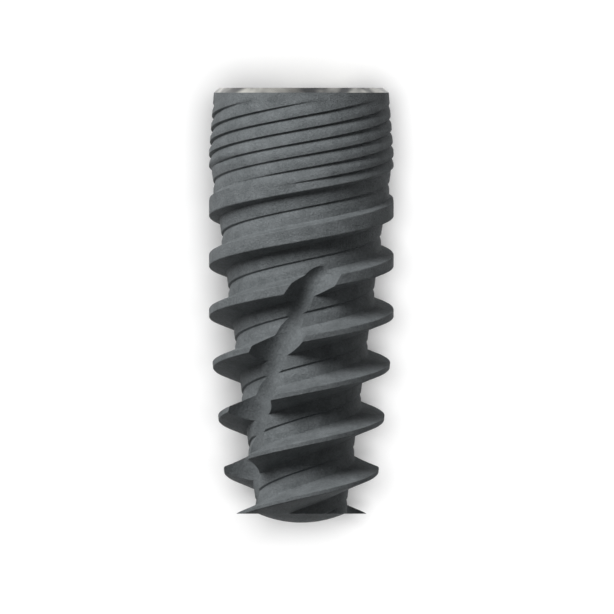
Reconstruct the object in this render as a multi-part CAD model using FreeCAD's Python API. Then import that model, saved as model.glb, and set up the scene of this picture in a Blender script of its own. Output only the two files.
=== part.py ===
import FreeCAD, Part
import math
import os

# Dental implant, a two-start self-tapping screw turned from one piece of titanium.
# It is drawn upright about the Z axis with the platform at height 0 and the apex below.
# A depth is a distance below the platform. The finished solid is then laid on its side.

# Overall sizes
implant_length = 9.94
crest_diameter = 4.22
apex_plane_height = 0.205
apex_dome_diameter = 1.97
crest_taper_depth = 5.55
crest_taper_slope = 0.107

# Platform and collar
platform_diameter = 3.77
platform_bevel_height = 0.11
collar_top_diameter = 4.0
collar_height = 1.47

# Main thread
thread_starts = 2
thread_pitch = 1.2
thread_phase_depth = 3.372
thread_root_width = 0.56
thread_flank_angle = 21.0
thread_root_diameter = 3.642
thread_root_slope = 0.1277
thread_runout_slope = 0.1565

# Fine grooves: the micro thread of the collar, of which one groove for each start of the
# main thread goes on along its root
fine_grooves_per_pitch = 4
fine_groove_depth = 0.075
fine_groove_upper_slope = 0.75
fine_groove_lower_slope = 1.6
fine_groove_top_depth = 0.26
fine_groove_end_depth = 2.3
fine_groove_fade = 0.3

# Cutting flutes
flute_count = 2
flute_radius = 0.68
flute_width = 1.62
flute_sides = 16
flute_lead = 20.6
flute_below_root = 0.04
flute_start_depth = 3.75
flute_runout_length = 0.95
flute_reference_depth = 4.47
flute_reference_angle = -82.0

# How it lies: one flute down, rolled about its axis to where it stays
rest_roll = 8.0

# Connection inside the implant
hex_across_flats = 2.42
hex_depth = 1.8
lead_in_diameter = 3.0
lead_in_angle = 45.0
relief_diameter = 2.0
relief_length = 0.4
screw_bore_diameter = 1.56
screw_bore_depth = 6.4
drill_point_angle = 118.0

# Values of the construction
cutter_clearance = 0.25
cutter_overlap = 0.1
points_per_turn = 20
least_points = 16

V = FreeCAD.Vector
lead = thread_pitch * thread_starts
apex_plane_depth = implant_length - apex_plane_height


def crest_radius(depth):
    """Radius of the outer surface at a depth: collar cone, cylinder, then the taper."""
    full = crest_diameter / 2
    if depth < collar_height:
        share = (collar_height - depth) / (collar_height - platform_bevel_height)
        return full - (full - collar_top_diameter / 2) * share
    if depth > crest_taper_depth:
        return full - crest_taper_slope * (depth - crest_taper_depth)
    return full


def root_radius(depth):
    """Radius of the thread root, which climbs out of the body towards the collar."""
    below = depth - thread_phase_depth
    slope = thread_root_slope if below > 0 else thread_runout_slope
    return thread_root_diameter / 2 - slope * below


def helix_curve(section, row, lead_length, share, top, bottom):
    """Curve that one point of a cutter section follows down its helix.

    section(depth) gives points as (offset down the axis, distance out, distance sideways).
    share is the turn, as a part of one, at which the helix passes the platform height.
    """
    count = max(least_points, int(math.ceil((bottom - top) / lead_length * points_per_turn)))
    points = []
    for step in range(count + 1):
        depth = top + (bottom - top) * step / count
        offset, out, sideways = section(depth)[row]
        angle = 2 * math.pi * (share - depth / lead_length)
        across = V(math.cos(angle), math.sin(angle), 0) * out
        along = V(-math.sin(angle), math.cos(angle), 0) * sideways
        points.append(across + along - V(0, 0, depth + offset))
    curve = Part.BSplineCurve()
    curve.interpolate(Points=points, Parameters=[step / count for step in range(count + 1)])
    return curve


def ruled_face(one, other):
    """Face of straight lines between two curves that share their knots."""
    surface = Part.BSplineSurface()
    surface.buildFromPolesMultsKnots(
        [one.getPoles(), other.getPoles()],
        [2, 2],
        one.getMultiplicities(),
        [0.0, 1.0],
        one.getKnots(),
        False,
        False,
        1,
        one.Degree,
    )
    return surface.toShape()


def helical_solid(section, lead_length, share, top, bottom):
    """Closed solid of a section carried down a helix, ended by flat faces."""
    rows = range(len(section(top)))
    curves = [helix_curve(section, row, lead_length, share, top, bottom) for row in rows]
    faces = [ruled_face(curves[row - 1], curves[row]) for row in rows]
    for parameter in (0.0, 1.0):
        corners = [curve.value(parameter) for curve in curves]
        faces.append(Part.Face(Part.makePolygon(corners + corners[:1])))
    shell = Part.makeShell(faces)
    shell.sewShape()
    solid = Part.Solid(shell)
    if solid.Volume < 0:
        solid.reverse()
    return solid


def thread_cutters(section, share, top, bottom):
    """Solids end to end down the thread helix, none longer than one turn."""
    turns = int(math.ceil((bottom - top) / lead))
    length = (bottom - top) / turns
    phase = share + thread_phase_depth / lead
    tops = [top + length * turn for turn in range(turns)]
    return [helical_solid(section, lead, phase, each, each + length) for each in tops]


def thread_section(depth):
    """Section of the main groove, with straight flanks that reach a little into the core."""
    root = root_radius(depth)
    outside = crest_radius(depth) + cutter_clearance
    spread = math.tan(math.radians(thread_flank_angle))
    inner = thread_root_width / 2 - cutter_overlap * spread
    outer = thread_root_width / 2 + (outside - root) * spread
    floor = root - cutter_overlap
    return [(-outer, outside, 0), (-inner, floor, 0), (inner, floor, 0), (outer, outside, 0)]


def fine_section(surface, share):
    """V section of a fine groove with a share of its full depth in a surface of that radius."""
    floor = surface - fine_groove_depth * share
    height = 2 * fine_groove_depth
    return [
        (-height * fine_groove_upper_slope, floor + height, 0),
        (0, floor, 0),
        (height * fine_groove_lower_slope, floor + height, 0),
    ]


def micro_section(depth):
    """Section of a collar groove, which runs out at its top and at its lower end."""
    from_top = (depth - fine_groove_top_depth) / fine_groove_fade
    from_end = (fine_groove_end_depth - depth) / fine_groove_fade
    return fine_section(crest_radius(depth), min(1.0, from_top, from_end))


def root_section(depth):
    """Section of a collar groove that goes on along the root of the main thread."""
    from_top = (depth - fine_groove_top_depth) / fine_groove_fade
    return fine_section(min(crest_radius(depth), root_radius(depth)), min(1.0, from_top))


def core():
    """Cone of the thread root, wider than the body above the end of the groove."""
    bottom = implant_length + thread_pitch
    outline = [
        V(0, 0, 0),
        V(root_radius(0), 0, 0),
        V(root_radius(thread_phase_depth), 0, -thread_phase_depth),
        V(root_radius(bottom), 0, -bottom),
        V(0, 0, -bottom),
        V(0, 0, 0),
    ]
    return Part.Face(Part.makePolygon(outline)).revolve(V(0, 0, 0), V(0, 0, 1), 360)


def main_grooves():
    """Cutters for each start of the main thread, hollowed by the core that they leave."""
    climb = (crest_diameter - thread_root_diameter) / 2 / thread_runout_slope
    top = thread_phase_depth - climb - thread_root_width
    bottom = apex_plane_depth + thread_pitch / 2
    cutters = []
    for start in range(thread_starts):
        cutters += thread_cutters(thread_section, start / thread_starts, top, bottom)
    return [cutter.cut(core()) for cutter in cutters]


def fine_grooves():
    """Cutters for the fine grooves, those that follow the main thread down to the apex too."""
    count = fine_grooves_per_pitch * thread_starts
    top = fine_groove_top_depth - fine_groove_fade
    cutters = []
    for index in range(count):
        if index % fine_grooves_per_pitch == 0:
            bottom = apex_plane_depth + thread_pitch / 2
            cutters += thread_cutters(root_section, index / count, top, bottom)
        else:
            bottom = fine_groove_end_depth + fine_groove_fade
            cutters += thread_cutters(micro_section, index / count, top, bottom)
    return cutters


def blank():
    """Outer form before the grooves, cut off flat at the apex plane."""
    taper_end = crest_radius(apex_plane_depth)
    outline = [
        V(0, 0, 0),
        V(platform_diameter / 2, 0, 0),
        V(collar_top_diameter / 2, 0, -platform_bevel_height),
        V(crest_diameter / 2, 0, -collar_height),
        V(crest_diameter / 2, 0, -crest_taper_depth),
        V(taper_end, 0, -apex_plane_depth),
        V(0, 0, -apex_plane_depth),
        V(0, 0, 0),
    ]
    return Part.Face(Part.makePolygon(outline)).revolve(V(0, 0, 0), V(0, 0, 1), 360)


def apex_dome():
    """Shallow dome under the apex plane."""
    half = apex_dome_diameter / 2
    ball_radius = (half ** 2 + apex_plane_height ** 2) / (2 * apex_plane_height)
    ball_centre = -implant_length + ball_radius
    angle = math.asin(half / ball_radius) / 2
    middle = V(ball_radius * math.sin(angle), 0, ball_centre - ball_radius * math.cos(angle))
    rim = V(half, 0, -apex_plane_depth)
    tip = V(0, 0, -implant_length)
    centre = V(0, 0, -apex_plane_depth)
    edges = [
        Part.LineSegment(centre, rim).toShape(),
        Part.Arc(rim, middle, tip).toShape(),
        Part.LineSegment(tip, centre).toShape(),
    ]
    return Part.Face(Part.Wire(edges)).revolve(V(0, 0, 0), V(0, 0, 1), 360)


def flute_section(depth):
    """Level section of a flute, a round channel that climbs out of the body at its upper end."""
    climb = max(0.0, 1 - (depth - flute_start_depth) / flute_runout_length)
    floor = root_radius(depth) - flute_below_root
    floor += (crest_diameter / 2 - floor + flute_below_root) * climb ** 2
    points = []
    for side in range(flute_sides):
        angle = 2 * math.pi * (side + 0.5) / flute_sides
        out = floor + flute_radius * (1 - math.cos(angle))
        points.append((0, out, flute_width / 2 * math.sin(angle)))
    return points


def flute_cutter(share):
    """Cutter of one flute on its own steep helix."""
    phase = share + flute_reference_angle / 360 + flute_reference_depth / flute_lead
    bottom = implant_length + flute_radius
    return helical_solid(flute_section, flute_lead, phase, flute_start_depth, bottom)


def connection():
    """Hex socket with its lead-in, a short relief and the bore for the abutment screw."""
    corner = hex_across_flats / 2 / math.cos(math.radians(30))
    corners = []
    for index in range(7):
        angle = math.radians(30 + 60 * index)
        corners.append(V(corner * math.cos(angle), corner * math.sin(angle), 0))
    socket = Part.Face(Part.makePolygon(corners)).extrude(V(0, 0, -hex_depth))
    lead_in_depth = lead_in_diameter / 2 / math.tan(math.radians(lead_in_angle))
    lead_in = Part.makeCone(0, lead_in_diameter / 2, lead_in_depth, V(0, 0, -lead_in_depth))
    relief = Part.makeCylinder(relief_diameter / 2, relief_length, V(0, 0, -hex_depth - relief_length))
    bore_radius = screw_bore_diameter / 2
    point_height = bore_radius / math.tan(math.radians(drill_point_angle / 2))
    bore = Part.makeCylinder(bore_radius, screw_bore_depth, V(0, 0, -screw_bore_depth))
    point = Part.makeCone(0, bore_radius, point_height, V(0, 0, -screw_bore_depth - point_height))
    return socket.fuse([lead_in, relief, bore, point])


def implant_body():
    """The whole implant, upright."""
    body = blank()
    for cutter in main_grooves() + fine_grooves():
        body = body.cut(cutter)
    body = body.fuse(apex_dome())
    for index in range(flute_count):
        body = body.cut(flute_cutter(index / flute_count))
    body = body.cut(connection())
    print("solids", len(body.Solids), "valid", body.isValid(), "volume", round(body.Volume, 3))
    return body


def laid_down(shape):
    """The implant on its side, platform towards +Y, resting on its crests at the origin."""
    turned = shape.copy()
    turned.rotate(V(0, 0, 0), V(0, 0, 1), rest_roll)
    turned.rotate(V(0, 0, 0), V(1, 0, 0), -90)
    turned.translate(V(0, implant_length / 2, crest_diameter / 2))
    return turned


os.makedirs("parts", exist_ok=True)
laid_down(implant_body()).exportStep("parts/implant_body.step")
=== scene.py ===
import math

import bmesh
import bpy
import numpy as np
from mathutils import Euler, Matrix, Vector


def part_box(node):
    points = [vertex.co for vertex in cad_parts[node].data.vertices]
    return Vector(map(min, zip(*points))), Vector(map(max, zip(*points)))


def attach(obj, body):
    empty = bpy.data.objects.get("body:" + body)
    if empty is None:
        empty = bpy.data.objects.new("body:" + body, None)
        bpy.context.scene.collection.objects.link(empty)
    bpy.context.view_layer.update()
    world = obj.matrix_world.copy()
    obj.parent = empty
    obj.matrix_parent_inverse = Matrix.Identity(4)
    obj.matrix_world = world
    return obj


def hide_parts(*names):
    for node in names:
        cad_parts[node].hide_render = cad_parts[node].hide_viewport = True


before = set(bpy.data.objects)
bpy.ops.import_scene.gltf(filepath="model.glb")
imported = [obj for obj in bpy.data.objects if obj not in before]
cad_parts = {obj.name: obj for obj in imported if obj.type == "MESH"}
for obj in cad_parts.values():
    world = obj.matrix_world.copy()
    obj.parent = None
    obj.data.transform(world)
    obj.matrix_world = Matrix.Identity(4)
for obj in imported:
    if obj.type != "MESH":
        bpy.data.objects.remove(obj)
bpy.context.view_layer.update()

# The dental implant lies on its side: platform towards +Y, apex towards -Y, one flute up.
# Positions on it are a depth below the platform and an angle round the axis from +X.
# All lengths are in metres.

MM = 0.001
low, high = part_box("implant_body")
PLATFORM_Y = high[1]

# Overall sizes
LENGTH = 9.94 * MM
CREST_RADIUS = 2.11 * MM
AXIS_HEIGHT = CREST_RADIUS
REST_ROLL = math.radians(8.0)
TAPER_DEPTH = 5.55 * MM
TAPER_SLOPE = 0.107
APEX_PLANE_DEPTH = 9.735 * MM
DOME_RADIUS = 0.985 * MM

# Platform and collar
PLATFORM_RADIUS = 1.885 * MM
BEVEL_HEIGHT = 0.11 * MM
COLLAR_TOP_RADIUS = 2.0 * MM
COLLAR_HEIGHT = 1.47 * MM

# Main thread
PITCH = 1.2 * MM
LEAD = 2 * PITCH
PHASE_DEPTH = 3.372 * MM
ROOT_HALF_WIDTH = 0.335 * MM
FLANK_SPREAD = 0.333
ROOT_RADIUS = 1.821 * MM
ROOT_SLOPE = 0.1277
RUNOUT_SLOPE = 0.1565
EDGE_ROUNDING = 0.04 * MM

# Fine grooves
FINE_PER_PITCH = 4
FINE_DEPTH = 0.07 * MM
FINE_UPPER_WIDTH = 0.035 * MM
FINE_LOWER_WIDTH = 0.15 * MM
FINE_TOP_DEPTH = 0.26 * MM
FINE_END_DEPTH = 2.3 * MM
FINE_FADE = 0.3 * MM
ROOT_LINE_SHARE = 0.6

# Flutes
FLUTE_RADIUS = 1.2 * MM
FLUTE_WIDTH = 1.36 * MM
FLUTE_LEAD = 20.6 * MM
FLUTE_BELOW_ROOT = 0.07 * MM
FLUTE_START_DEPTH = 3.75 * MM
FLUTE_RUNOUT = 0.55 * MM
FLUTE_REFERENCE_DEPTH = 4.47 * MM
FLUTE_REFERENCE_ANGLE = math.radians(-82.0)

# Connection
HEX_HALF = 1.21 * MM
HEX_DEPTH = 1.8 * MM
LEAD_IN_RADIUS = 1.5 * MM
RELIEF_RADIUS = 1.0 * MM
RELIEF_END = 2.2 * MM
BORE_RADIUS = 0.78 * MM
BORE_DEPTH = 6.4 * MM
DRILL_SLOPE = math.tan(math.radians(31.0))
DRILL_TIP_RADIUS = BORE_RADIUS / 10

# Mesh of the outer form, whose rows follow the helix and whose columns run round the axis
COLUMNS = 400
COLLAR_ROWS_END = 2.0 * MM
COLLAR_ROWS_BLEND = 0.5 * MM
MID_ROOT_OFFSET = 0.2 * MM
ROW_GAP = 0.03 * MM
FLAT_QUAD = 1e-9
MERGE_DISTANCE = 0.0005 * MM
SHORT_EDGE = 0.0002 * MM
SHARP_ANGLE = math.radians(38)

# Rings of the dome, as shares of its radius
DOME_SHARES = (0.9, 0.75, 0.58, 0.4, 0.22, 0.1)
DOME_SLACK = 1.02
DOME_MARGIN = 0.01 * MM

# Meshes of the cutters
BORE_COLUMNS = 96
FLUTE_STEPS = 90
FLUTE_SIDES = 48
CUTTER_REACH = 0.4 * MM

# Where the bright metal ends, as shares of the bevel's height and of the thread root's radius
BRIGHT_BEVEL_SHARE = 0.98
BRIGHT_SOCKET_SHARE = 0.97

# Colours: position on the ramp and colour, dark end first
BLASTED_TONES = ((0.3, (0.09, 0.1, 0.104, 1)), (0.7, (0.2, 0.216, 0.224, 1)))
# Machined metal colour, with light and dark patches that are painted reflections
METAL_AND_PAINTED_REFLECTION_TONES = ((0.38, (0.09, 0.092, 0.094, 1)), (0.68, (0.72, 0.71, 0.66, 1)))
GRAIN_SHARE = 0.6
FLOOR_SEEN = (0.92, 0.92, 0.92, 1)
FLOOR_UNSEEN = (0.12, 0.12, 0.12, 1)

# Floor, lamps and sky: level, spread in degrees and direction
FLOOR_HALF = 0.2
SKY_LEVEL = 0.13
KEY = (1.3, 30, (-0.45, 0.62, 0.64))
OVERHEAD = (1.06, 33, (0, 0, 1))

# Picture: its side and scale in pixels, and how far the implant is left of and above its middle
PICTURE = 614
PIXELS_PER_METRE = 43.75 / MM
ACROSS = 5.65 / PIXELS_PER_METRE
DOWN = 1.75 / PIXELS_PER_METRE
CAMERA_DISTANCE = 0.1


def crest_radius(depth):
    """Outer surface: collar cone, cylinder, then the taper."""
    cone = (COLLAR_HEIGHT - depth) / (COLLAR_HEIGHT - BEVEL_HEIGHT)
    radius = CREST_RADIUS - (CREST_RADIUS - COLLAR_TOP_RADIUS) * np.maximum(cone, 0)
    return radius - TAPER_SLOPE * np.maximum(depth - TAPER_DEPTH, 0)


def root_radius(depth):
    """Thread root, which climbs out of the body towards the collar."""
    below = depth - PHASE_DEPTH
    return ROOT_RADIUS - np.where(below > 0, ROOT_SLOPE, RUNOUT_SLOPE) * below


def smooth_min(one, other, rounding):
    """The smaller of two heights, with the corner between them rounded."""
    mix = np.clip(0.5 + 0.5 * (other - one) / rounding, 0, 1)
    return other * (1 - mix) + one * mix - rounding * mix * (1 - mix)


def fine_groove(depth, offset, surface_end):
    """Depth of the fine groove at an offset from its floor, faded at both ends."""
    side = np.where(offset < 0, 1 + offset / FINE_UPPER_WIDTH, 1 - offset / FINE_LOWER_WIDTH)
    from_top = (depth - FINE_TOP_DEPTH) / FINE_FADE
    from_end = (surface_end - depth) / FINE_FADE
    fade = np.clip(np.minimum(from_top, from_end), 0, 1)
    return FINE_DEPTH * fade * np.clip(side, 0, 1)


def outer_radius(centre, offset):
    """Radius at an offset below the centre line of a main groove whose centre has that depth."""
    depth = centre + offset
    crest = crest_radius(depth)
    root = root_radius(depth)
    flank = root_radius(centre) + np.maximum(np.abs(offset) - ROOT_HALF_WIDTH, 0) / FLANK_SPREAD
    fine_pitch = PITCH / FINE_PER_PITCH
    fine_offset = (offset + fine_pitch / 2) % fine_pitch - fine_pitch / 2
    land = crest - fine_groove(depth, fine_offset, FINE_END_DEPTH)
    groove = np.maximum(root, flank)
    groove = groove - ROOT_LINE_SHARE * fine_groove(depth, offset, LENGTH + PITCH)
    return np.minimum(smooth_min(land, groove, EDGE_ROUNDING), crest)


def thread_rows(centre):
    """Offsets of the mesh rows of one pitch, which follow the edges of the thread."""
    rise = np.maximum(crest_radius(centre) - root_radius(centre), 0)
    edge = ROOT_HALF_WIDTH + rise * FLANK_SPREAD
    half = PITCH / 2
    side = [
        MID_ROOT_OFFSET + 0 * edge,
        ROOT_HALF_WIDTH - ROW_GAP * 0.6 + 0 * edge,
        ROOT_HALF_WIDTH + ROW_GAP * 0.3 + 0 * edge,
        ROOT_HALF_WIDTH + (edge - ROOT_HALF_WIDTH) * 0.5,
        edge - ROW_GAP,
        edge - ROW_GAP * 0.4,
        edge,
        edge + ROW_GAP * 0.5,
        edge + ROW_GAP * 1.1,
    ]
    middle = [-FINE_UPPER_WIDTH, -FINE_UPPER_WIDTH / 2, 0, FINE_LOWER_WIDTH / 2, FINE_LOWER_WIDTH]
    rows = [-offset for offset in side] + [each + 0 * edge for each in middle] + side
    return np.sort(np.array(rows + [half + 0 * edge]), axis=0)


def collar_rows(count):
    """Offsets of the mesh rows of one pitch on the collar, which follow the fine grooves."""
    fine_pitch = PITCH / FINE_PER_PITCH
    land = fine_pitch - FINE_UPPER_WIDTH - FINE_LOWER_WIDTH
    steps = [-FINE_UPPER_WIDTH, -FINE_UPPER_WIDTH / 2, 0, FINE_LOWER_WIDTH / 2, FINE_LOWER_WIDTH]
    steps.append(FINE_LOWER_WIDTH + land / 2)
    rows = [-PITCH / 2 + fine_pitch * index + step for index in range(FINE_PER_PITCH) for step in steps]
    rows = sorted(row + PITCH if row <= -PITCH / 2 else row for row in rows)
    return np.array(rows)[:, None] + np.zeros(count)


def outer_grid():
    """Depths and radii of the outer surface, rows along the helix by columns round the axis."""
    turns = np.arange(COLUMNS) / COLUMNS
    first = -int(math.ceil((PHASE_DEPTH + PITCH) / PITCH))
    last = int(math.ceil((LENGTH - PHASE_DEPTH + LEAD) / PITCH)) + 1
    depths = []
    radii = []
    for groove in range(first, last + 1):
        centre = PHASE_DEPTH + groove * PITCH - LEAD * turns
        blend = np.clip((centre - COLLAR_ROWS_END) / COLLAR_ROWS_BLEND, 0, 1)
        offsets = thread_rows(centre) * blend + collar_rows(COLUMNS) * (1 - blend)
        for offset in offsets:
            depths.append(centre + offset)
            radii.append(outer_radius(centre, offset))
    return np.array(depths), np.array(radii)


def to_world(depth, radius, angle):
    """Point in the row frame from a depth, a radius and an angle round the axis."""
    x = radius * np.cos(angle + REST_ROLL)
    z = AXIS_HEIGHT - radius * np.sin(angle + REST_ROLL)
    y = PLATFORM_Y - depth
    return np.stack([x, y + 0 * x, z], axis=-1)


def add_ring(points, depth, radius, angles):
    """Adds a ring of points and returns their numbers."""
    start = len(points)
    radius = radius + np.zeros(len(angles))
    depth = depth + np.zeros(len(angles))
    points.extend(to_world(depth, radius, angles))
    return list(range(start, start + len(angles)))


def bridge(faces, upper, lower):
    """Joins two rings with quads."""
    count = len(upper)
    for index in range(count):
        after = (index + 1) % count
        faces.append((upper[index], lower[index], lower[after], upper[after]))


def make_object(name, points, faces):
    """Mesh object with its doubled points merged and its faces pointing out."""
    mesh = bpy.data.meshes.new(name)
    mesh.from_pydata([tuple(point) for point in points], [], faces)
    work = bmesh.new()
    work.from_mesh(mesh)
    bmesh.ops.remove_doubles(work, verts=work.verts, dist=MERGE_DISTANCE)
    bmesh.ops.dissolve_degenerate(work, edges=work.edges, dist=SHORT_EDGE)
    bmesh.ops.recalc_face_normals(work, faces=work.faces)
    work.to_mesh(mesh)
    work.free()
    made = bpy.data.objects.new(name, mesh)
    bpy.context.scene.collection.objects.link(made)
    return made


def radius_at(limit, depths, radii):
    """Radius at one depth in each column of the grid."""
    return np.array([np.interp(limit, *column) for column in zip(depths.T, radii.T)])


def outer_shell():
    """Closed outer form with thread and fine grooves, before the flutes and the socket."""
    depths, radii = outer_grid()
    rows = len(depths)
    angles = 2 * math.pi * np.arange(COLUMNS) / COLUMNS
    collar_edge = radius_at(BEVEL_HEIGHT, depths, radii)
    apex_edge = radius_at(APEX_PLANE_DEPTH, depths, radii)
    clamped = np.clip(depths, BEVEL_HEIGHT, APEX_PLANE_DEPTH)
    radii = np.where(clamped == BEVEL_HEIGHT, collar_edge, radii)
    radii = np.where(clamped == APEX_PLANE_DEPTH, apex_edge, radii)
    grid = to_world(clamped, radii, angles[None, :])
    points = list(grid.reshape(-1, 3))
    shift = 2 * len(thread_rows(np.zeros(1)))
    faces = []
    for row in range(rows - 1):
        for column in range(COLUMNS):
            after = (column + 1) % COLUMNS
            drop = 0 if after else shift
            if row - drop < 0:
                continue
            quad = [(row, column), (row + 1, column), (row + 1 - drop, after), (row - drop, after)]
            quad_depths = [clamped[item] for item in quad]
            if max(quad_depths) - min(quad_depths) < FLAT_QUAD:
                continue
            faces.append(tuple(item[0] * COLUMNS + item[1] for item in quad))
    ring = add_ring(points, APEX_PLANE_DEPTH, apex_edge, angles)
    base = np.minimum(DOME_RADIUS, apex_edge - DOME_MARGIN)
    inner = add_ring(points, APEX_PLANE_DEPTH, base, angles)
    bridge(faces, ring, inner)
    height = LENGTH - APEX_PLANE_DEPTH
    ball = (DOME_RADIUS ** 2 + height ** 2) / (2 * height)
    for share in DOME_SHARES:
        radius = DOME_RADIUS * share
        rise = math.sqrt(ball ** 2 - radius ** 2) - (ball - height)
        reach = np.minimum(radius, base * share * DOME_SLACK)
        lower = add_ring(points, APEX_PLANE_DEPTH + rise, reach, angles)
        bridge(faces, inner, lower)
        inner = lower
    faces.append(tuple(inner))
    top = add_ring(points, BEVEL_HEIGHT, COLLAR_TOP_RADIUS, angles)
    rim = add_ring(points, 0.0, PLATFORM_RADIUS, angles)
    bridge(faces, rim, top)
    faces.append(tuple(reversed(rim)))
    return make_object("implant", points, faces)


def flute_tool(share):
    """Cutter of one flute, a round channel on a steep helix that climbs out at its top."""
    around = 2 * math.pi * (np.arange(FLUTE_SIDES) + 0.5) / FLUTE_SIDES
    points = []
    rings = []
    for depth in np.linspace(FLUTE_START_DEPTH, LENGTH + FLUTE_RADIUS, FLUTE_STEPS):
        climb = max(0.0, 1 - (depth - FLUTE_START_DEPTH) / FLUTE_RUNOUT)
        floor = float(root_radius(depth)) - FLUTE_BELOW_ROOT
        floor += (CREST_RADIUS - floor + FLUTE_BELOW_ROOT) * climb ** 2
        out = floor + FLUTE_RADIUS * (1 - np.cos(around))
        sideways = FLUTE_WIDTH / 2 * np.sin(around)
        turn = share + (FLUTE_REFERENCE_DEPTH - depth) / FLUTE_LEAD
        angle = FLUTE_REFERENCE_ANGLE + 2 * math.pi * turn + np.arctan2(sideways, out)
        start = len(points)
        points.extend(to_world(depth, np.hypot(out, sideways), angle))
        rings.append(list(range(start, start + FLUTE_SIDES)))
    faces = []
    for upper, lower in zip(rings, rings[1:]):
        bridge(faces, upper, lower)
    faces.append(tuple(reversed(rings[0])))
    faces.append(tuple(rings[-1]))
    return make_object("flute_tool", points, faces)


def socket_tool():
    """Cutter of the connection: lead-in, hex, relief and plain screw bore."""
    angles = 2 * math.pi * np.arange(BORE_COLUMNS) / BORE_COLUMNS
    sector = (angles + math.pi / 6) % (math.pi / 3) - math.pi / 6
    hexagon = HEX_HALF / np.cos(sector)
    points = []
    rings = [
        add_ring(points, -CUTTER_REACH, LEAD_IN_RADIUS + CUTTER_REACH, angles),
        add_ring(points, LEAD_IN_RADIUS - hexagon, hexagon, angles),
        add_ring(points, HEX_DEPTH, hexagon, angles),
        add_ring(points, HEX_DEPTH, RELIEF_RADIUS, angles),
        add_ring(points, RELIEF_END, RELIEF_RADIUS, angles),
        add_ring(points, RELIEF_END, BORE_RADIUS, angles),
        add_ring(points, BORE_DEPTH, BORE_RADIUS, angles),
        add_ring(points, BORE_DEPTH + (BORE_RADIUS - DRILL_TIP_RADIUS) * DRILL_SLOPE, DRILL_TIP_RADIUS, angles),
    ]
    faces = []
    for upper, lower in zip(rings, rings[1:]):
        bridge(faces, upper, lower)
    faces.append(tuple(reversed(rings[0])))
    faces.append(tuple(rings[-1]))
    return make_object("socket_tool", points, faces)


def cut_with(body, tool):
    """Takes the tool's form out of the body for good."""
    modifier = body.modifiers.new("cut", "BOOLEAN")
    modifier.operation = "DIFFERENCE"
    modifier.solver = "EXACT"
    modifier.object = tool
    with bpy.context.temp_override(object=body, active_object=body):
        bpy.ops.object.modifier_apply(modifier=modifier.name)
    mesh = tool.data
    bpy.data.objects.remove(tool)
    bpy.data.meshes.remove(mesh)


def node(tree, kind, **values):
    """Shader node with its values set by input name."""
    made = tree.nodes.new(kind)
    for name, value in values.items():
        made.inputs[name.replace("_", " ")].default_value = value
    return made


def metal(name):
    """New material with its node tree, its shader and the object's coordinates."""
    material = bpy.data.materials.new(name)
    material.use_nodes = True
    tree = material.node_tree
    place = tree.nodes.new("ShaderNodeTexCoord")
    return material, tree, tree.nodes["Principled BSDF"], place.outputs["Object"]


def tones(tree, source, stops, target):
    """Colour ramp between two stops, from a source socket to a target socket."""
    ramp = tree.nodes.new("ShaderNodeValToRGB")
    for element, (position, colour) in zip(ramp.color_ramp.elements, stops):
        element.position = position
        element.color = colour
    tree.links.new(source, ramp.inputs["Fac"])
    tree.links.new(ramp.outputs["Color"], target)


def blasted_titanium():
    """Grit-blasted and etched titanium: matte, dark grey, with a fine crawling grain."""
    material, tree, shader, place = metal("blasted_titanium")
    shader.inputs["Metallic"].default_value = 0.25
    shader.inputs["Roughness"].default_value = 0.75
    shader.inputs["Specular IOR Level"].default_value = 0.25
    grain = node(tree, "ShaderNodeTexNoise", Scale=19000.0, Detail=3.0, Roughness=0.7, Distortion=0.8)
    broad = node(tree, "ShaderNodeTexNoise", Scale=2600.0, Detail=2.0)
    for texture in (grain, broad):
        tree.links.new(place, texture.inputs["Vector"])
    bump = node(tree, "ShaderNodeBump", Strength=0.9, Distance=0.03 * MM)
    tree.links.new(grain.outputs["Fac"], bump.inputs["Height"])
    tree.links.new(bump.outputs["Normal"], shader.inputs["Normal"])
    mix = node(tree, "ShaderNodeMath")
    mix.operation = "MULTIPLY_ADD"
    mix.inputs[1].default_value = GRAIN_SHARE
    share = node(tree, "ShaderNodeMath")
    share.operation = "MULTIPLY"
    share.inputs[1].default_value = 1 - GRAIN_SHARE
    tree.links.new(broad.outputs["Fac"], share.inputs[0])
    tree.links.new(grain.outputs["Fac"], mix.inputs[0])
    tree.links.new(share.outputs[0], mix.inputs[2])
    tones(tree, mix.outputs[0], BLASTED_TONES, shader.inputs["Base Color"])
    return material


def machined_titanium():
    """Bright machined titanium of the bevel, platform and socket, with fine turning marks. Its base colour is
    patched light and dark by a broad noise, which are painted reflections.
    """
    material, tree, shader, place = metal("machined_titanium")
    shader.inputs["Metallic"].default_value = 1.0
    stretch = node(tree, "ShaderNodeMapping")
    stretch.inputs["Scale"].default_value = (600, 60000, 600)
    marks = node(tree, "ShaderNodeTexNoise", Scale=1.0, Detail=2.0)
    # Painted reflections: a broad noise patches the base colour light and dark
    painted_reflection = node(tree, "ShaderNodeTexNoise", Scale=1100.0, Detail=2.0, Distortion=0.6)
    tree.links.new(place, painted_reflection.inputs["Vector"])
    tones(tree, painted_reflection.outputs["Fac"], METAL_AND_PAINTED_REFLECTION_TONES, shader.inputs["Base Color"])
    tree.links.new(place, stretch.inputs["Vector"])
    tree.links.new(stretch.outputs["Vector"], marks.inputs["Vector"])
    bump = node(tree, "ShaderNodeBump", Strength=0.15, Distance=0.002 * MM)
    tree.links.new(marks.outputs["Fac"], bump.inputs["Height"])
    tree.links.new(bump.outputs["Normal"], shader.inputs["Normal"])
    spread = tree.nodes.new("ShaderNodeMapRange")
    spread.inputs["To Min"].default_value = 0.22
    spread.inputs["To Max"].default_value = 0.36
    tree.links.new(marks.outputs["Fac"], spread.inputs["Value"])
    tree.links.new(spread.outputs["Result"], shader.inputs["Roughness"])
    return material


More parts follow.
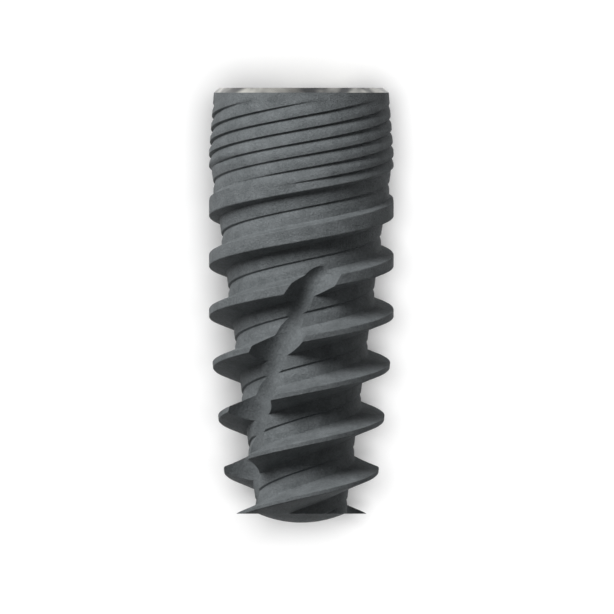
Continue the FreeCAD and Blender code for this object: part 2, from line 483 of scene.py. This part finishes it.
def paint(body):
    """Bright metal on the bevel, platform and socket, and blasted metal everywhere else."""
    body.data.materials.clear()
    body.data.materials.append(blasted_titanium())
    body.data.materials.append(machined_titanium())
    for face in body.data.polygons:
        centre = face.center
        depth = PLATFORM_Y - centre.y
        radius = math.hypot(centre.x, centre.z - AXIS_HEIGHT)
        wall = min(LEAD_IN_RADIUS, BRIGHT_SOCKET_SHARE * float(root_radius(depth)) - FLUTE_BELOW_ROOT)
        in_socket = depth < BORE_DEPTH + BORE_RADIUS and radius < wall
        face.material_index = 1 if depth < BEVEL_HEIGHT * BRIGHT_BEVEL_SHARE or in_socket else 0


def implant():
    """The whole implant, one piece that stands for the CAD solid."""
    body = outer_shell()
    cut_with(body, flute_tool(0.0))
    cut_with(body, flute_tool(0.5))
    cut_with(body, socket_tool())
    paint(body)
    body.data.shade_smooth()
    body.data.set_sharp_from_angle(angle=SHARP_ANGLE)
    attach(body, "root")
    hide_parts("implant_body")
    return body


def floor():
    """Plain white floor. Only the diffuse light that it sends back up is kept low."""
    half = FLOOR_HALF
    mesh = bpy.data.meshes.new("floor")
    corners = [(-half, -half, 0), (half, -half, 0), (half, half, 0), (-half, half, 0)]
    mesh.from_pydata(corners, [], [(0, 1, 2, 3)])
    made = bpy.data.objects.new("floor", mesh)
    bpy.context.scene.collection.objects.link(made)
    material = bpy.data.materials.new("white_floor")
    material.use_nodes = True
    tree = material.node_tree
    tree.nodes.clear()
    output = tree.nodes.new("ShaderNodeOutputMaterial")
    pale = node(tree, "ShaderNodeBsdfDiffuse", Color=FLOOR_SEEN)
    dark = node(tree, "ShaderNodeBsdfDiffuse", Color=FLOOR_UNSEEN)
    path = tree.nodes.new("ShaderNodeLightPath")
    seen = node(tree, "ShaderNodeMath")
    seen.operation = "ADD"
    tree.links.new(path.outputs["Is Camera Ray"], seen.inputs[0])
    tree.links.new(path.outputs["Is Glossy Ray"], seen.inputs[1])
    clear = node(tree, "ShaderNodeMath")
    clear.operation = "ADD"
    clear.use_clamp = True
    tree.links.new(seen.outputs[0], clear.inputs[0])
    tree.links.new(path.outputs["Is Transmission Ray"], clear.inputs[1])
    choice = tree.nodes.new("ShaderNodeMixShader")
    tree.links.new(clear.outputs[0], choice.inputs[0])
    tree.links.new(dark.outputs[0], choice.inputs[1])
    tree.links.new(pale.outputs[0], choice.inputs[2])
    tree.links.new(choice.outputs[0], output.inputs["Surface"])
    mesh.materials.append(material)
    return made


def soft_sun(name, level, spread, towards, lit):
    """Soft distant lamp that lights one group of objects. A level of 1 shows a colour as written."""
    lamp = bpy.data.lights.new(name, "SUN")
    lamp.energy = level * math.pi
    lamp.angle = math.radians(spread)
    made = bpy.data.objects.new(name, lamp)
    made.rotation_euler = turned_with_implant(towards).to_track_quat("Z", "Y").to_euler()
    bpy.context.scene.collection.objects.link(made)
    group = bpy.data.collections.new(name + "_lights")
    group.objects.link(lit)
    made.light_linking.receiver_collection = group


def lights(body, ground):
    """Weak even sky, a soft key on the implant and a soft lamp overhead for the floor."""
    world = bpy.data.worlds.new("studio")
    world.use_nodes = True
    world.node_tree.nodes["Background"].inputs["Color"].default_value = (1, 1, 1, 1)
    world.node_tree.nodes["Background"].inputs["Strength"].default_value = SKY_LEVEL
    bpy.context.scene.world = world
    soft_sun("key", *KEY, body)
    soft_sun("overhead", *OVERHEAD, ground)


def turned_with_implant(place):
    """Place or direction, turned about the implant's axis as far as the implant is rolled."""
    return Matrix.Rotation(REST_ROLL, 3, "Y") @ Vector(place)


def camera():
    """Level view of the photograph: straight down on the implant as it lies, no perspective."""
    data = bpy.data.cameras.new("camera")
    data.type = "ORTHO"
    data.ortho_scale = PICTURE / PIXELS_PER_METRE
    data.clip_start = CAMERA_DISTANCE / 100
    made = bpy.data.objects.new("camera", data)
    middle_y = (low[1] + high[1]) / 2
    place = turned_with_implant((ACROSS, middle_y - DOWN, CAMERA_DISTANCE))
    made.location = (place.x, place.y, place.z + AXIS_HEIGHT)
    made.rotation_euler = Euler((0, REST_ROLL, 0))
    bpy.context.scene.collection.objects.link(made)
    bpy.context.scene.camera = made


lights(implant(), floor())
camera()
bpy.context.scene.view_settings.view_transform = "Standard"
